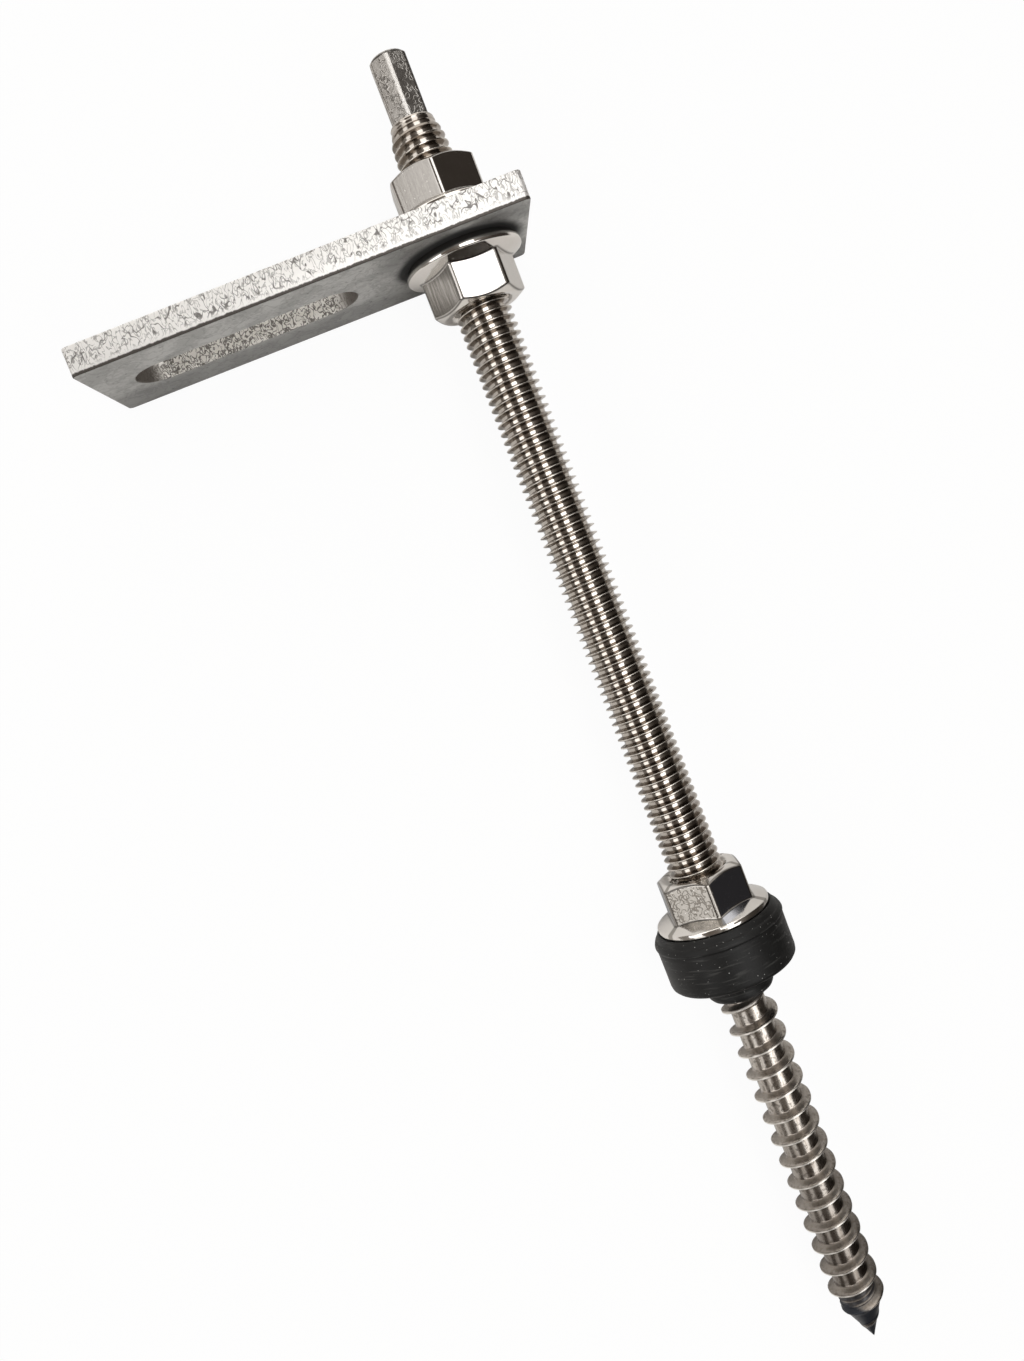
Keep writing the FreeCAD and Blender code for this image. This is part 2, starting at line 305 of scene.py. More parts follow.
class Finish:
    """The nodes of one material or of the world."""

    def __init__(self, owner):
        owner.use_nodes = True
        self.owner = owner
        self.tree = owner.node_tree
        self.tree.nodes.clear()

    def add(self, kind, settings, sockets, output=0):
        """One node: its settings first, then the values or links of its sockets."""
        node = self.tree.nodes.new("ShaderNode" + kind)
        for key, value in settings.items():
            if key == "stops":
                stops = node.color_ramp.elements
                while len(stops) < len(value):
                    stops.new(0.5)
                for stop, (place, colour) in zip(stops, value):
                    stop.position = place
                    stop.color = (*colour, 1)
            else:
                setattr(node, key, value)
        for key, value in sockets.items():
            if isinstance(value, Socket):
                self.tree.links.new(value.output, node.inputs[key])
            else:
                node.inputs[key].default_value = value
        return Socket(node.outputs[output]) if node.outputs else None

    def place(self, scale=(1, 1, 1)):
        """Where a point lies on the piece, in millimetres, stretched by a scale each way."""
        at = self.add("TexCoord", {}, {}, "Object")
        return self.add("Mapping", {}, {"Vector": at, "Scale": tuple(1000 * way for way in scale)})

    def along(self, way):
        """How far a point lies along X, Y or Z, in millimetres."""
        return self.add("SeparateXYZ", {}, {"Vector": self.place()}, way)

    def noise(self, size, detail=2.0, scale=(1, 1, 1), distortion=0.0):
        """Noise whose lumps are about so many millimetres across."""
        return self.add("TexNoise", {}, {"Vector": self.place(scale), "Scale": 1 / size, "Detail": detail,
                                         "Distortion": distortion})

    def step(self, value, low, high):
        """0 below one value, 1 above another, and a smooth rise between."""
        return self.add("MapRange", {"interpolation_type": "SMOOTHSTEP"},
                        {"Value": value, "From Min": low, "From Max": high})

    def strokes(self, field, width):
        """Thin lines where a noise passes its middle value."""
        return 1 - self.step(abs(field - 0.5), 0.3 * width, width)

    def blend(self, mask, below, above):
        """One colour where the mask is 0 and another where it is 1."""
        below, above = [(*c, 1) if isinstance(c, tuple) else c for c in (below, above)]
        return self.add("Mix", {"data_type": "RGBA"}, {0: mask, 6: below, 7: above}, 2)

    def bumps(self, height, distance_mm):
        """A bumpy normal from a height between 0 and 1."""
        return self.add("Bump", {}, {"Height": height, "Strength": 1.0, "Distance": distance_mm / 1000})

    def shade(self, **sockets):
        """The surface's own shader, joined to the output."""
        named = {key.replace("_", " "): value for key, value in sockets.items()}
        surface = self.add("BsdfPrincipled", {}, named)
        self.add("OutputMaterial", {}, {"Surface": surface})
        return self.owner

    def stored(self, name):
        """A number stored on the mesh's points."""
        return self.add("Attribute", {"attribute_name": name}, {}, "Fac")


def store(piece, name, values):
    """Stores one number for each point of a piece."""
    layer = piece.data.attributes.new(name, "FLOAT", "POINT")
    layer.data.foreach_set("value", np.asarray(values, dtype=np.float32).ravel())


def rolled_steel():
    """Rolled stainless threads: bright warm grey, black at the point, and under the seal with painted
    shadow.
    """
    finish = Finish(bpy.data.materials.new("rolled_stainless"))
    depth = finish.stored("depth")
    flank = finish.stored("flank")
    coarse = finish.stored("coarse")
    tempered = finish.stored("tempered")
    rim = finish.stored("rim")
    black = finish.stored("black")
    patches = finish.noise(1.8, 3)
    fine = finish.noise(0.3, 2)
    streaks = finish.noise(0.5, 2, scale=(0.15, 1, 1))
    steel = finish.blend(patches, (0.56, 0.515, 0.465), (0.68, 0.645, 0.60))
    # Painted shade in the machine thread's grooves and at the foot of each flight
    steel = finish.blend(0.42 * depth, steel, (0.24, 0.205, 0.175))
    # Painted shade on the flights' flanks; the whole wood thread is a darker steel
    steel = finish.blend(0.20 * coarse + 0.35 * flank, steel, (0.22, 0.19, 0.165))
    steel = finish.blend(0.6 * coarse * finish.step(streaks, 0.45, 0.65), steel, (0.30, 0.26, 0.22))
    flecks = coarse * (1 - flank) * finish.step(finish.noise(0.8, 1), 0.56, 0.64)
    steel = finish.blend(0.55 * flecks, steel, (0.09, 0.075, 0.063))
    steel = finish.blend(tempered * (1 - 0.75 * flank), steel, (0.10, 0.083, 0.070))
    # Rubbed bright crests and flight edges, partly a painted highlight line
    steel = finish.blend(0.9 * rim ** 2, steel, (0.90, 0.87, 0.82))
    steel = finish.blend(black, steel, (0.016, 0.019, 0.027))
    rough = 0.09 + 0.07 * patches + 0.12 * black + 0.09 * coarse + 0.14 * flank + 0.20 * rim
    return finish.shade(Base_Color=steel, Metallic=1 - 0.6 * black, Roughness=rough,
                        Normal=finish.bumps(0.5 * fine + 0.5 * patches, 0.012))


def drive_steel():
    """The drive end's flats: worn by the socket, with worm-like scores."""
    finish = Finish(bpy.data.materials.new("scored_stainless"))
    worn = finish.stored("worn")
    rim = finish.stored("rim")
    field = finish.noise(1.3, 0.5, distortion=0.8)
    scores = finish.strokes(finish.noise(1.1, 0.3, distortion=0.9), 0.085)
    scores = scores * finish.step(finish.noise(2.5, 1) + 0.08 * (1 - worn), 0.42, 0.52)
    pits = finish.step(finish.noise(0.5, 1), 0.66, 0.74)
    steel = finish.blend(field, (0.46, 0.435, 0.405), (0.64, 0.615, 0.58))
    steel = finish.blend(0.58 * (1 - worn), steel, (0.16, 0.148, 0.136))
    steel = finish.blend(0.6 * pits, steel, (0.10, 0.09, 0.08))
    steel = finish.blend(0.6 * scores * worn, steel, (0.10, 0.09, 0.08))
    steel = finish.blend(0.7 * scores * (1 - worn), steel, (0.80, 0.78, 0.74))
    # Every other corner is rubbed bright, partly a painted highlight line
    steel = finish.blend(0.8 * rim, steel, (0.95, 0.93, 0.90))
    steel = finish.blend(finish.stored("black"), steel, (0.03, 0.026, 0.022))
    rough = 0.20 + 0.10 * field + 0.14 * (1 - worn) + 0.3 * rim
    return finish.shade(Base_Color=steel, Metallic=1.0, Roughness=rough,
                        Normal=finish.bumps(0.3 * field + 0.5 * scores - 0.4 * pits, 0.06))


wood_first = len(machine_points)
drive_first = wood_first + len(wood_points)
bolt_points = np.concatenate([machine_points, wood_points, drive_points])
bolt_faces = (machine_faces
              + [tuple(corner + wood_first for corner in face) for face in wood_faces]
              + ring_faces(len(drive_rows), len(drive_angles), drive_first)
              + [tuple(range(len(bolt_points) - len(drive_angles), len(bolt_points)))])
bolt = make_piece("threaded_hanger_bolt", bolt_points, bolt_faces, [rolled_steel(), drive_steel()])

bolt_x, bolt_y, bolt_z = bolt_points.T
bolt_r = np.hypot(bolt_x, bolt_y)
bolt_turn = np.arctan2(bolt_y, bolt_x)
on_wood = bolt_z < MACHINE_FOOT
wood_offset = ((bolt_z - WOOD_PHASE) / WOOD_PITCH - bolt_turn / (2 * np.pi) + 0.5) % 1 - 0.5

# Painted shade darkens the machine thread's grooves, less so at their roots, and the foot of each flight
groove = ramp(bolt_r, *GROOVE_SHADE_R) * (1 - 0.6 * ramp(bolt_r, *GROOVE_ROOT_R))
groove = groove * np.interp(bolt_z, *GROOVE_SHADE) * ramp(bolt_z, DRIVE_SHOULDER, DRIVE_SHOULDER - 1)
flight_foot = 1.3 * near(wood_offset, FLIGHT_FOOT, FLIGHT_FOOT_REACH)
store(bolt, "depth", np.where(on_wood, flight_foot, groove))

# Crests, flights and every other corner of the drive end are rubbed bright, partly as painted highlight
# lines
flight_rim = (wood_offset > FLIGHT_RIM[0]) & (wood_offset < FLIGHT_RIM[1]) & (bolt_r > FLIGHT_RIM_R)
rim = np.where(on_wood, flight_rim, 0.7 * (bolt_r > CREST_RIM_R))
drive_corner = (bolt_z > DRIVE_FOOT + 0.1) & (bolt_r > DRIVE_CORNER_R - DRIVE_CORNER_WEAR)
bright_corner = np.cos(3 * (bolt_turn - drive_turn)) > 0
store(bolt, "rim", np.maximum(rim, drive_corner & bright_corner))

# The flights' flanks are rougher and darkened by painted shade from the crest towards the core, least so
# towards the plate's short end, and the lower turns are darker
flank = ramp(bolt_r, *FLANK_HEAD_R) * ramp(bolt_r, *FLANK_FOOT_R) * on_wood
store(bolt, "flank", flank * (1 - 0.7 * ramp(bolt_x, 0, WOOD_CREST_R) ** 2))
store(bolt, "coarse", on_wood)
store(bolt, "tempered", np.minimum(ramp(bolt_z, *TEMPER_HEIGHT), 0.75))

# Black lies on the point and between its flights, and on the neck under the seal as rubber stain and
# painted shadow of the seal's boss. A dark line runs round the drive end's top edge, and painted shade
# darkens its other corners on the side of the plate's short end
crest_at_point = WOOD_CREST_R * bolt_z / POINT_FLIGHT_LENGTH
glint = (bolt_r > 0.96 * crest_at_point) & (bolt_z > POINT_GLINT[0]) & (bolt_z < POINT_GLINT[1])
point_black = ramp(bolt_z + POINT_BLACK_SLANT * bolt_x, *POINT_BLACK_HEIGHT) * (1 - 0.75 * glint)
core_at_point = WOOD_CORE_R * ramp(bolt_z, 0, POINT_CORE_LENGTH)
valley_black = ramp(bolt_r - core_at_point, *VALLEY_BLACK_DEPTH) * ramp(bolt_z, *VALLEY_BLACK_HEIGHT)
# Painted shadow of the seal's boss, with rubber stain, on the neck
neck_black = ramp(bolt_z, *NECK_STAIN_AND_SHADE_HEIGHT) * ramp(bolt_r, *NECK_STAIN_AND_SHADE_R) * on_wood
end_edge = ramp(np.abs(bolt_z - BOLT_LENGTH + DRIVE_EDGE_DROP), *DRIVE_EDGE_BLACK)
# Painted shade on the other corners, on the side of the plate's short end
dark_corner = drive_corner & ~bright_corner & (bolt_x > DRIVE_DARK_SIDE)
drive_black = 0.9 * np.maximum(end_edge, dark_corner)
store(bolt, "black", np.max([point_black, 0.8 * valley_black, neck_black, drive_black], axis=0))

# The socket wore every other flat
worn = np.zeros(len(bolt_points))
worn[drive_first:] = np.arange(len(drive_points)) // DRIVE_COLUMNS % 2
store(bolt, "worn", worn)
flats_start = len(machine_faces) + len(wood_faces) + len(drive_angles)
for polygon in bolt.data.polygons[flats_start:]:
    polygon.material_index = 1
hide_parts("hanger_bolt")

# Flange nuts
# Three forged and polished stainless nuts with a wide flange each: one above and one below the plate
# clamp it, and the third is run down on the seal. Their hexagons are chamfered at the free face.
PLATE_UNDERSIDE = 214.8
PLATE_THICKNESS = 5.0
SEAL_TOP = 87.08
NUT_AF = 15.0
NUT_HEIGHT = 10.0
NUT_CORNER_R = 8.5
NUT_CORNER_SOFT = 0.08
NUT_CORNER_BAND = 0.12
NUT_FLANGE_R = 10.6
NUT_RIM_THICKNESS = 2.0
NUT_FOOT_R = NUT_FLANGE_R - 0.6
NUT_FOOT_HEIGHT = 1.0
NUT_CONE_ANGLE = 24
NUT_CONE_HEAD = 4.2
NUT_CONE_SOFT = 0.35
NUT_CHAMFER_R = 6.9
NUT_CHAMFER_ANGLE = 30
NUT_CHAMFER_FOOT = 8.4
NUT_CHAMFER_SOFT = 0.3
NUT_SINK_R = 5.8
NUT_SINK_DEPTH = 0.75
NUT_BORE_R = 5.12
NUT_COLUMNS = 30
NUT_EDGE_INSET = 0.2
NUT_EDGE_LINE = (0.144, 0.024)
# Each nut's seat, the way it faces, its turn in degrees, the face that the spanner marked most, and how
# far that face is dulled, brushed and scored
NUTS = {
    "top_flange_nut": (PLATE_UNDERSIDE + PLATE_THICKNESS, 1, 1, 2, 0.46, 0.2, 0.1),
    "under_plate_flange_nut": (PLATE_UNDERSIDE, -1, -22, 0, 0.2, 1.0, 0.0),
    "seal_flange_nut": (SEAL_TOP, 1, 0, 2, 0.7, 0.1, 1.0),
}


def nut_skin_rows(side):
    """Radius and height of each row, from the bore over the bearing face, rim, cone, hexagon and back.

    Its turned edges are softened by about a tenth of a millimetre, and the rows stand close together
    where the cone and the chamfer cut into the hexagon.
    """
    rim = [(NUT_BORE_R, 0), (NUT_FOOT_R - 0.12, 0), (NUT_FOOT_R, 0.08),
           (NUT_FLANGE_R - 0.08, NUT_FOOT_HEIGHT - 0.1), (NUT_FLANGE_R, NUT_FOOT_HEIGHT + 0.05),
           (NUT_FLANGE_R, NUT_RIM_THICKNESS - 0.25), (NUT_FLANGE_R - 0.05, NUT_RIM_THICKNESS - 0.1),
           (NUT_FLANGE_R - 0.2, NUT_RIM_THICKNESS + 0.02)]
    cone_r, cone_z = rim[-1]
    cone_slope = math.tan(math.radians(NUT_CONE_ANGLE))
    chamfer_slope = math.tan(math.radians(NUT_CHAMFER_ANGLE))
    cone_heights = np.arange(cone_z + 0.07, NUT_CONE_HEAD, 0.08)
    chamfer_heights = np.arange(NUT_CHAMFER_FOOT, NUT_HEIGHT - 0.02, 0.07)
    hexagon = []
    for z in (*cone_heights, 5, 6, 7, 8, *chamfer_heights):
        cone = cone_r - (z - cone_z) / cone_slope
        chamfer = NUT_CHAMFER_R + (NUT_HEIGHT - z) / chamfer_slope
        body = softer(side, chamfer, NUT_CHAMFER_SOFT)
        hexagon.append((-softer(-body, -cone, NUT_CONE_SOFT), z))
    sink_floor = NUT_HEIGHT - NUT_SINK_DEPTH
    back = [(NUT_CHAMFER_R - 0.1, NUT_HEIGHT), (NUT_SINK_R + 0.1, NUT_HEIGHT),
            (NUT_SINK_R - 0.1, NUT_HEIGHT - 0.07), (NUT_BORE_R, sink_floor), (NUT_BORE_R, 0)]
    return rim + hexagon + back


def polished_steel():
    """Polished stainless: mirror-bright flanges, and flats dulled by the spanner."""
    finish = Finish(bpy.data.materials.new("polished_stainless"))
    flats = finish.stored("flats")
    dulled = finish.stored("dulled")
    scored = finish.stored("scored")
    patches = finish.noise(2.5, 2)
    brushed = finish.noise(0.45, 3, scale=(0.07, 1, 1))
    maze = finish.strokes(finish.noise(0.95, 0, distortion=1.0), 0.085)
    specks = finish.step(finish.noise(0.35, 0), 0.77, 0.82)
    steel = finish.blend(patches, (0.74, 0.71, 0.67), (0.83, 0.80, 0.765))
    grain = finish.stored("brushed") * finish.step(brushed, 0.35, 0.65)
    steel = finish.blend(dulled + 0.3 * grain, steel, (0.17, 0.155, 0.13))
    steel = finish.blend(0.7 * scored * maze, steel, (0.10, 0.086, 0.07))
    steel = finish.blend(finish.stored("blued"), steel, (0.45, 0.51, 0.64))
    steel = finish.blend(0.6 * specks, steel, (0.90, 0.88, 0.84))
    steel = finish.blend(0.85 * finish.stored("outline"), steel, (0.05, 0.042, 0.036))
    rough = 0.07 + 0.04 * patches + 0.03 * flats + 0.10 * dulled + 0.10 * grain
    relief = 0.2 * flats * brushed + 0.4 * grain + 0.6 * scored * maze + 0.4 * specks
    return finish.shade(Base_Color=steel, Metallic=1.0, Roughness=rough, Normal=finish.bumps(relief, 0.016))


nut_finish = polished_steel()
nut_angles = corner_angles(0, NUT_COLUMNS)
nut_side = hexagon_radius(nut_angles, NUT_AF / 2, NUT_CORNER_R, 0, NUT_CORNER_SOFT)
nut_rows = nut_skin_rows(nut_side)
nut_faces = ring_faces(len(nut_rows), len(nut_angles))

# A thin dark line follows the nut's corners and the edge where its hexagon meets the chamfer and the cone
nut_heights = np.array([z for radius, z in nut_rows])[:, None]
nut_inset = np.abs(np.array([radius - nut_side for radius, z in nut_rows]))
on_corner = nut_side >= NUT_CORNER_R - NUT_CORNER_BAND
nut_flats = (nut_inset < 0.01) & ~on_corner
corner_line = 2 * np.abs(NUT_CORNER_R - 0.1 - nut_side) + 4 * nut_inset
edge_line = np.minimum(np.abs(nut_inset - NUT_EDGE_INSET) / 1.8, corner_line)
on_body = (nut_heights > NUT_RIM_THICKNESS + 0.3) & (nut_heights < NUT_HEIGHT - 0.05)
nut_outline = on_body * ramp(edge_line, *NUT_EDGE_LINE)

for name, (seat, way, turn, gripped_face, dulling, brushing, scoring) in NUTS.items():
    places = [(radius, seat + way * z) for radius, z in nut_rows]
    points = row_points(places, math.radians(turn - 90) + way * nut_angles)
    nut = make_piece(name + "_polished", points, nut_faces, [nut_finish], 50)
    gripped = nut_flats & (np.arange(len(nut_angles)) // NUT_COLUMNS % 3 == gripped_face)
    store(nut, "flats", nut_flats)
    store(nut, "outline", nut_outline)
    store(nut, "dulled", np.maximum(dulling * gripped, 0.7 * scoring * on_corner))
    store(nut, "brushed", brushing * gripped)
    store(nut, "scored", scoring * gripped)
    store(nut, "blued", (scoring > 0.5) * (nut_flats & ~gripped))
    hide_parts(name)

# Adapter plate
# A length of stainless flat bar, sheared to length and drilled and slotted. Its faces keep the matt mill
# finish, and its cut edges and the wall of its slot are bright and torn by the cutting.
PLATE_LENGTH = 80.0
PLATE_WIDTH = 30.0
PLATE_END = 12.5
PLATE_FAR_END = PLATE_END - PLATE_LENGTH
PLATE_CORNER_R = 1.0
PLATE_EDGE_BREAK = 0.22
PLATE_EDGE_SLOPE = 0.75
PLATE_MARGIN = 2.0
PLATE_HOLE_R = 5.5
SLOT_WIDTH = 10.5
SLOT_LENGTH = 41.5
SLOT_FAR_END = PLATE_FAR_END + 6.5
SLOT_MIDDLE = SLOT_FAR_END + SLOT_LENGTH / 2
# Marks and painted shade of the plate: where each begins and ends, from the middle of the slot or of
# the painted contact shadow round the clamped flange, as a height over the ground, or along the cut edge
SLOT_END_SHADE = (15.5, 19.5)
CONTACT_SHADOW_MIDDLE = (-0.5, -0.9)
CONTACT_SHADOW_R = (10.5, 12.7)
FLANGE_SHADOW_R = (12, 19)
FLANGE_SHADOW_HEIGHT = (20, 26)
DARKER_FAR_R = (50, 64)
DARKER_LOW_HEIGHT = (6, 13)
EDGE_DARKER_FAR = (20, 64)


def arc(centre_x, centre_y, radius, start, end, count):
    """Points along an arc, its angles in degrees."""
    turns = [math.radians(start + (end - start) * step / (count - 1)) for step in range(count)]
    return [(centre_x + radius * math.cos(turn), centre_y + radius * math.sin(turn)) for turn in turns]


def plate_outlines():
    """The outline of the bar, its slot and its hole."""
    far = PLATE_FAR_END + PLATE_CORNER_R
    end = PLATE_END - PLATE_CORNER_R
    side = PLATE_WIDTH / 2 - PLATE_CORNER_R
    bar = (arc(end, side, PLATE_CORNER_R, 0, 90, 6) + arc(far, side, PLATE_CORNER_R, 90, 180, 6)
           + arc(far, -side, PLATE_CORNER_R, 180, 270, 6) + arc(end, -side, PLATE_CORNER_R, 270, 360, 6))
    slot_r = SLOT_WIDTH / 2
    slot_far = SLOT_FAR_END + slot_r
    slot_end = SLOT_FAR_END + SLOT_LENGTH - slot_r
    slot = arc(slot_end, 0, slot_r, -90, 90, 33) + arc(slot_far, 0, slot_r, 90, 270, 33)
    hole = arc(0, 0, PLATE_HOLE_R, 0, 354, 60)
    return [bar, slot, hole]


def plate_mesh():
    """The bar as a filled outline given its thickness, with its edges slightly broken."""
    curve = bpy.data.curves.new("plate_outline", "CURVE")
    curve.dimensions = "2D"
    curve.fill_mode = "BOTH"
    curve.extrude = PLATE_THICKNESS / 2 - PLATE_EDGE_BREAK
    curve.bevel_depth = PLATE_EDGE_BREAK
    curve.bevel_resolution = 2
    curve.offset = -PLATE_EDGE_BREAK
    for outline in plate_outlines():
        spline = curve.splines.new("POLY")
        spline.points.add(len(outline) - 1)
        for point, (x, y) in zip(spline.points, outline):
            point.co = (x, y, 0, 1)
        spline.use_cyclic_u = True
    holder = bpy.data.objects.new("plate_outline", curve)
    mesh = bpy.data.meshes.new_from_object(holder)
    bpy.data.objects.remove(holder)
    middle = np.array((0, 0, PLATE_UNDERSIDE + PLATE_THICKNESS / 2))
    points = [np.array(vertex.co) + middle for vertex in mesh.vertices]
    return points, [tuple(polygon.vertices) for polygon in mesh.polygons]


def laid(place):
    """A place in the bolt's own frame, brought to where the bolt lies."""
    return LYING @ Vector(place) / 1000 + BOLT_POINT


def mill_finish():
    """The plate's flat faces: matt grey, mottled, dented, with painted contact shadow round the flanges."""
    finish = Finish(bpy.data.materials.new("mill_finish"))
    mottle = finish.noise(6.0, 4)
    grain = finish.noise(0.5, 3)
    dents = finish.step(finish.noise(1.3, 1), 0.68, 0.76)
    clamp = laid((*CONTACT_SHADOW_MIDDLE, PLATE_UNDERSIDE)) * 1000
    away = ((finish.along("Y") - clamp.y) ** 2 + (finish.along("Z") - clamp.z) ** 2) ** 0.5
    # Painted contact shadow: near black round the clamped flanges
    contact_shadow = 1 - finish.step(away + 1.2 * (mottle - 0.5), *CONTACT_SHADOW_R)
    scuffs = finish.strokes(finish.noise(3.0, 2, distortion=0.5), 0.05)
    blotches = finish.step(0.7 * mottle + 0.3 * grain, 0.42, 0.58)
    height = finish.along("Z")
    # Darker near the ground and towards the far end
    darker_low_and_far = 0.85 * (1 - finish.step(height, *DARKER_LOW_HEIGHT)) + 0.35 * finish.step(away, *DARKER_FAR_R)
    # Painted shadow of the flange, on the plate above the clamp
    flange_shadow = (1 - finish.step(away, *FLANGE_SHADOW_R)) * finish.step(height, *FLANGE_SHADOW_HEIGHT)
    steel = finish.blend(darker_low_and_far, (0.555, 0.555, 0.542), (0.30, 0.30, 0.293))
    steel = finish.blend(0.4 * blotches, steel, (0.21, 0.21, 0.204))
    steel = finish.blend(0.22 * scuffs, steel, (0.08, 0.08, 0.077))
    steel = finish.blend(0.65 * flange_shadow, steel, (0.10, 0.10, 0.098))
    steel = finish.blend(0.5 * dents, steel, (0.09, 0.09, 0.09))
    steel = finish.blend(contact_shadow, steel, (0.008, 0.008, 0.008))
    rough = 0.42 + 0.12 * grain + 0.3 * contact_shadow
    return finish.shade(Base_Color=steel, Metallic=0.8 - 0.8 * contact_shadow, Roughness=rough,
                        Normal=finish.bumps(0.6 * grain + 0.4 * mottle - 0.5 * dents, 0.035))


def sheared_edge():
    """The bar's cut edges: bright, with torn strokes across them and a smooth band at the foot."""
    finish = Finish(bpy.data.materials.new("sheared_edge"))
    rise = finish.stored("rise")
    # The cut edge is darker towards the far end
    end = finish.step(0 - finish.along("Y"), *EDGE_DARKER_FAR)
    long_field = finish.noise(1.9, 1, scale=(0.75, 1.15, 1), distortion=0.8)
    fine_field = finish.noise(0.9, 1, scale=(0.7, 1.2, 1), distortion=0.7)
    patch = finish.step(finish.noise(2.4, 2) + 0.08 * rise + 0.12 * end, 0.42, 0.52)
    torn = finish.strokes(long_field, 0.030) * patch
    scratched = finish.strokes(fine_field, 0.055) * (0.5 + 0.25 * end)
    clear = finish.step(rise, 0.08, 0.34)
    lip = 1 - finish.step(rise + 0.08 * (fine_field - 0.5), 0.085, 0.13)
    lines = clear * (0.85 * torn + scratched * (1 - torn)) + lip
    steel = finish.blend(end, (0.88, 0.865, 0.84), (0.70, 0.685, 0.66))
    steel = finish.blend(lines, steel, (0.075, 0.066, 0.058))
    return finish.shade(Base_Color=steel, Metallic=0.6, Roughness=0.42 + 0.1 * long_field,
                        Normal=finish.bumps(0.3 * fine_field - 0.4 * lines, 0.06))


def slot_wall():
    """The milled wall of the slot: a fine maze of cutter marks along its sides, smooth at its ends."""
    finish = Finish(bpy.data.materials.new("slot_wall"))
    middle = laid((SLOT_MIDDLE, 0, PLATE_UNDERSIDE)) * 1000
    ends = finish.step(abs(finish.along("Y") - middle.y), *SLOT_END_SHADE)
    maze = finish.strokes(finish.noise(0.75, 0.5, scale=(0.8, 1, 1), distortion=1.1), 0.10)
    marks = maze * (1 - 0.6 * ends)
    steel = finish.blend(0.85 * marks, (0.80, 0.775, 0.73), (0.08, 0.07, 0.06))
    # Painted shade darkens the rounded ends of the slot
    steel = finish.blend(0.9 * ends, steel, (0.11, 0.095, 0.083))
    return finish.shade(Base_Color=steel, Metallic=0.7, Roughness=0.38,
                        Normal=finish.bumps(1 - marks, 0.08))


def within(point):
    """True for a point well inside the bar's outline, as on the wall of its slot or hole."""
    x, y = point[:2]
    in_length = PLATE_FAR_END + PLATE_MARGIN < x < PLATE_END - PLATE_MARGIN
    return in_length and abs(y) < PLATE_WIDTH / 2 - PLATE_MARGIN


plate_points, plate_faces = plate_mesh()
plate = make_piece("slotted_adapter_plate", plate_points, plate_faces,
                   [mill_finish(), sheared_edge(), slot_wall()], 50)
store(plate, "rise", [(z - PLATE_UNDERSIDE) / PLATE_THICKNESS for x, y, z in plate_points])
for polygon in plate.data.polygons:
    if abs(polygon.normal.dot(BOLT_AXIS)) < PLATE_EDGE_SLOPE:
        on_wall = all(within(plate_points[corner]) for corner in polygon.vertices)
        polygon.material_index = 2 if on_wall else 1
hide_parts("adapter_plate")

# Rubber seal
# A moulded disc of black rubber that its nut presses, so that it swells up round the flange, with a boss
# below that closes round the neck of the bolt. It keeps the lines of its mould and some dust.
SEAL_COLUMNS = 160
# Radius and height of each row: the top, the swell round the flange, the mould's rib, the side, the foot,
# the boss, and the lip that closes on the neck
SEAL_ROWS = (
    (5.08, SEAL_TOP), (9.95, SEAL_TOP), (10.12, 87.14),
    (10.6, 87.85), (10.72, 87.95), (10.85, 87.96), (11.0, 87.88), (11.25, 87.5), (11.5, 87.0),
    (11.62, 86.78), (11.7, 86.74), (11.86, 86.7), (12.0, 86.45), (12.2, 86.0),
    (12.25, 85.75), (12.22, 85.55), (12.05, 85.42), (11.98, 85.3), (11.99, 85.1), (12.05, 84.9),
    (12.03, 84.5), (12.0, 81.5), (12.0, 78.3),
    (11.9, 77.75), (11.6, 77.4), (11.2, 77.28), (6.7, 77.28), (6.4, 77.2), (6.3, 77.0),
    (6.3, 74.6), (6.2, 74.4), (6.28, 74.2), (6.22, 73.5), (5.9, 73.05), (5.4, 72.78),
    (4.8, 72.68), (3.6, 72.68), (3.6, 74.6),
)


def moulded_rubber():
    """Matt black rubber, greyer where it is rubbed, with specks of white dust."""
    finish = Finish(bpy.data.materials.new("moulded_rubber"))
    clouds = finish.noise(4.0, 4)
    skin = finish.noise(0.35, 2)
    dust = finish.step(finish.noise(0.30, 0), 0.81, 0.85)
    lines = finish.step(finish.noise(0.5, 3, scale=(1, 0.10, 0.10)), 0.55, 0.70)
    rubber = finish.blend(clouds, (0.004, 0.004, 0.004), (0.016, 0.016, 0.0155))
    rubber = finish.blend(0.7 * lines, rubber, (0.045, 0.045, 0.043))
    rubber = finish.blend(0.7 * dust, rubber, (0.50, 0.50, 0.48))
    return finish.shade(Base_Color=rubber, Roughness=0.40 + 0.15 * clouds, Specular_IOR_Level=0.23,
                        Normal=finish.bumps(0.6 * skin + 0.4 * lines, 0.04))


seal_points = row_points(SEAL_ROWS, -np.linspace(0, 2 * np.pi, SEAL_COLUMNS, endpoint=False))
seal_faces = ring_faces(len(SEAL_ROWS), SEAL_COLUMNS)
seal = make_piece("moulded_rubber_seal", seal_points, seal_faces, [moulded_rubber()], 50)
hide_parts("rubber_seal")

# Floor
# The white sheet that the bolt lies on, wide enough to fill every view. The bright metal mirrors the
# sheet only as far as a slanting line beside the bolt, and darkness beyond it. The line is soft: it begins
# and ends at two distances, in millimetres.
FLOOR_HALF = 3.0
FLOOR_WHITE = 0.95
SHEET_EDGE = (45, 115)
SHEET_SLANT = 0.35

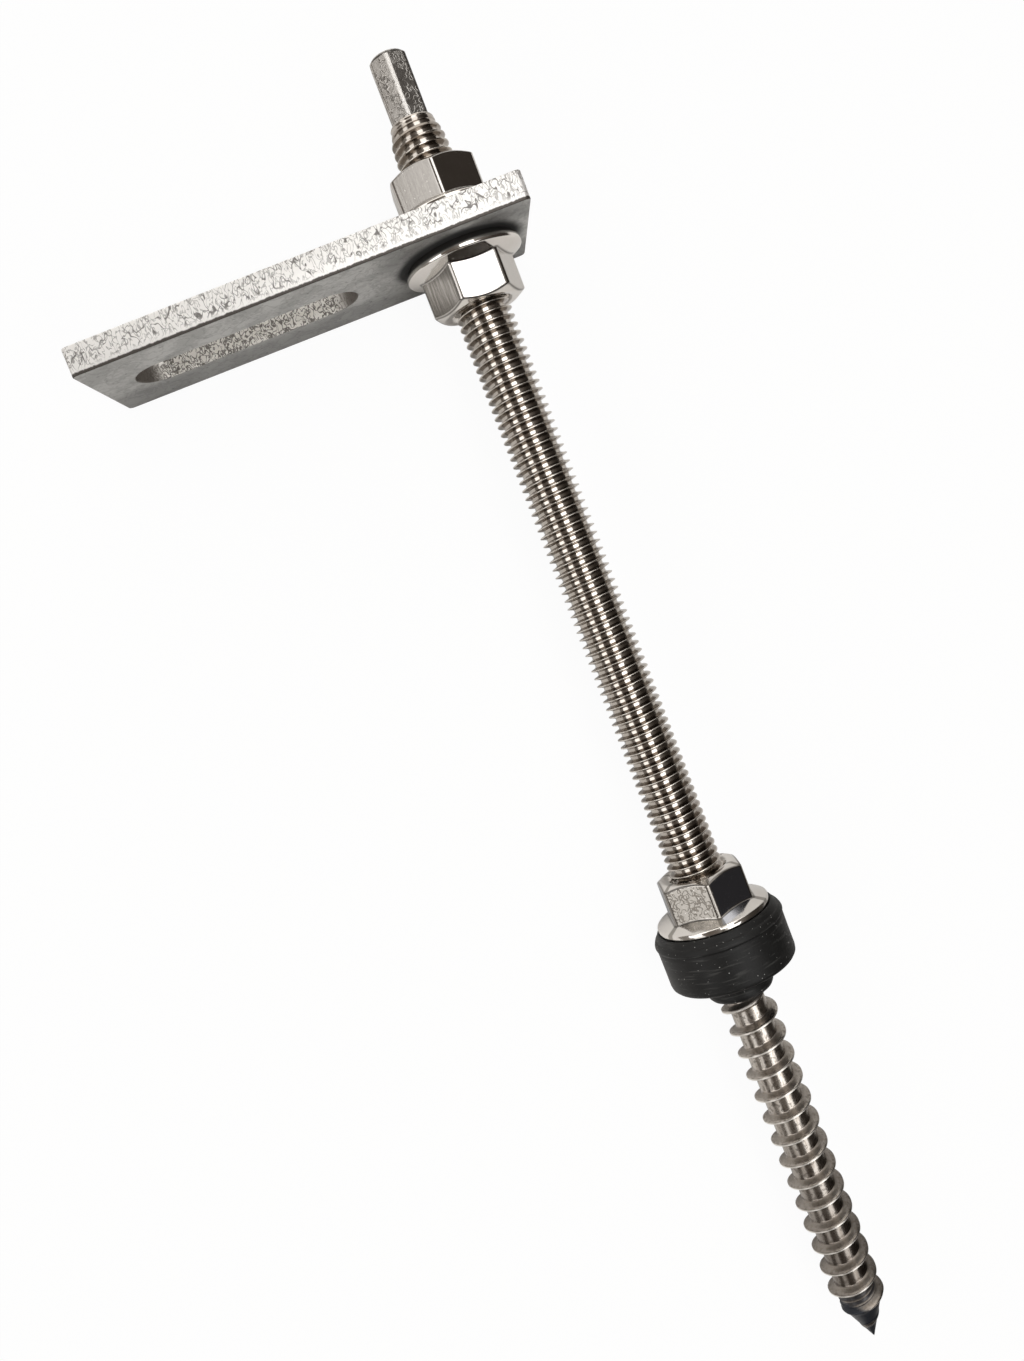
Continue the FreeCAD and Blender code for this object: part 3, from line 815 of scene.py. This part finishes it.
floor_mesh = bpy.data.meshes.new("white_floor")
floor_mesh.from_pydata([(-FLOOR_HALF, -FLOOR_HALF, 0), (FLOOR_HALF, -FLOOR_HALF, 0),
                        (FLOOR_HALF, FLOOR_HALF, 0), (-FLOOR_HALF, FLOOR_HALF, 0)], [], [(0, 1, 2, 3)])
floor = bpy.data.objects.new("white_floor", floor_mesh)
bpy.context.scene.collection.objects.link(floor)
paper = Finish(bpy.data.materials.new("white_paper"))
seen = paper.add("LightPath", {}, {}, "Is Camera Ray")
mirrored = paper.add("LightPath", {}, {}, "Is Glossy Ray")
beyond = paper.step(paper.along("Y") + SHEET_SLANT * paper.along("X"), *SHEET_EDGE)
colour = paper.blend(mirrored * beyond, (0.80, 0.79, 0.775), (0.05, 0.045, 0.04))
lit = paper.add("BsdfDiffuse", {}, {"Color": colour})
white = paper.add("Emission", {}, {"Color": (1, 1, 1, 1), "Strength": 1.0})
mixed = paper.add("MixShader", {}, {0: FLOOR_WHITE * seen, 1: lit, 2: white})
paper.add("OutputMaterial", {}, {"Surface": mixed})
floor_mesh.materials.append(paper.owner)

# Studio light
# Long soft lamps hang along the bolt, and the room between and beside them is dim and warm. Each lamp has
# its lean and spread about the bolt in degrees, its two ends along the bolt in metres, and its radiance.
LAMP_DISTANCE = 0.7
STRIP_LAMPS = {
    "left_strip_head": (-44, 24, -1.2, -0.25, 1.3),
    "left_strip": (-53, 26, -0.25, 0.32, 2.0),
    "left_strip_end": (-50, 24, 0.32, 0.9, 0.8),
    "right_strip_head": (21, 30, -1.2, -0.27, 1.9),
    "right_strip": (11, 26, -0.27, 0.27, 3.5),
    "right_strip_end": (25, 32, 0.27, 0.9, 2.2),
}

for name, (lean, spread, start, end, radiance) in STRIP_LAMPS.items():
    light = bpy.data.lights.new(name, "AREA")
    light.shape = "RECTANGLE"
    light.size = end - start
    light.size_y = 2 * LAMP_DISTANCE * math.tan(math.radians(spread / 2))
    light.energy = radiance * math.pi * light.size * light.size_y
    lamp = bpy.data.objects.new(name, light)
    bpy.context.scene.collection.objects.link(lamp)
    lean = math.radians(lean)
    outward = Vector((0, math.sin(lean), math.cos(lean)))
    lamp.location = outward * LAMP_DISTANCE + Vector(((start + end) / 2, BOLT_POINT.y, BOLT_POINT.z))
    lamp.rotation_euler = (-lean, 0, 0)

# Radiance of the room at each lean about the bolt, from the zenith towards +Y
ROOM_WALLS = (
    (-92, (0.34, 0.315, 0.29)), (-80, (0.22, 0.20, 0.18)), (-66, (0.24, 0.22, 0.20)),
    (-38, (0.18, 0.155, 0.135)), (-25, (0.12, 0.100, 0.085)), (-12, (0.15, 0.128, 0.110)),
    (0, (0.22, 0.20, 0.18)), (26, (0.22, 0.20, 0.18)), (38, (0.18, 0.16, 0.145)),
    (50, (0.105, 0.092, 0.080)), (65, (0.048, 0.040, 0.034)), (92, (0.034, 0.029, 0.025)),
    (97, (0.25, 0.23, 0.21)),
)
# The room is light beyond the drive end of the bolt and dark beyond its point. Each end of it begins and is
# full where the share of X in a look's direction reaches these values.
ROOM_HEAD = (1.5, 1.45, 1.38)
ROOM_HEAD_SHARES = (0.68, 0.90)
ROOM_FOOT = (0.035, 0.030, 0.026)
ROOM_FOOT_SHARES = (0.70, 0.85)

world = bpy.data.worlds.new("studio")
bpy.context.scene.world = world
room = Finish(world)
look = room.add("TexCoord", {}, {}, "Generated")
length = room.add("SeparateXYZ", {}, {"Vector": look}, "X")
across = room.add("SeparateXYZ", {}, {"Vector": look}, "Y")
up = room.add("SeparateXYZ", {}, {"Vector": look}, "Z")
lean = across.maths("ARCTAN2", across, up) / (2 * math.pi) + 0.5
stops = [(at / 360 + 0.5, radiance) for at, radiance in ROOM_WALLS]
walls = room.add("ValToRGB", {"stops": stops}, {0: lean})
walls = room.blend(room.step(0 - length, *ROOM_HEAD_SHARES), walls, ROOM_HEAD)
walls = room.blend(room.step(length, *ROOM_FOOT_SHARES), walls, ROOM_FOOT)
seen = room.add("LightPath", {}, {}, "Is Camera Ray")
walls = room.blend(seen, walls, (1.0, 1.0, 1.0))
glow = room.add("Background", {}, {"Color": walls, "Strength": 1.0})
room.add("OutputWorld", {}, {"Surface": glow})

# Camera
# It looks down on the bolt from above the middle of the thread, rolled as the photograph is. Its place and
# its aim are in the bolt's own frame.
CAMERA_PLACE = (-17.68, -198.94, 157.68)
CAMERA_AIM = (-18.90, 0.0, 141.81)
CAMERA_ROLL = 21.34
CAMERA_WIDTH_ANGLE = 49.69

camera_data = bpy.data.cameras.new("camera")
camera_data.sensor_fit = "HORIZONTAL"
camera_data.angle = math.radians(CAMERA_WIDTH_ANGLE)
camera_data.clip_start = 0.01
camera = bpy.data.objects.new("camera", camera_data)
bpy.context.scene.collection.objects.link(camera)
forward = (laid(CAMERA_AIM) - laid(CAMERA_PLACE)).normalized()
level = forward.cross(BOLT_AXIS).normalized()
upright = level.cross(forward)
roll = math.radians(CAMERA_ROLL)
right = level * math.cos(roll) - upright * math.sin(roll)
top = level * math.sin(roll) + upright * math.cos(roll)
facing = Matrix([right, top, -forward]).transposed().to_4x4()
camera.matrix_world = Matrix.Translation(laid(CAMERA_PLACE)) @ facing
bpy.context.scene.camera = camera
bpy.context.scene.view_settings.view_transform = "Standard"
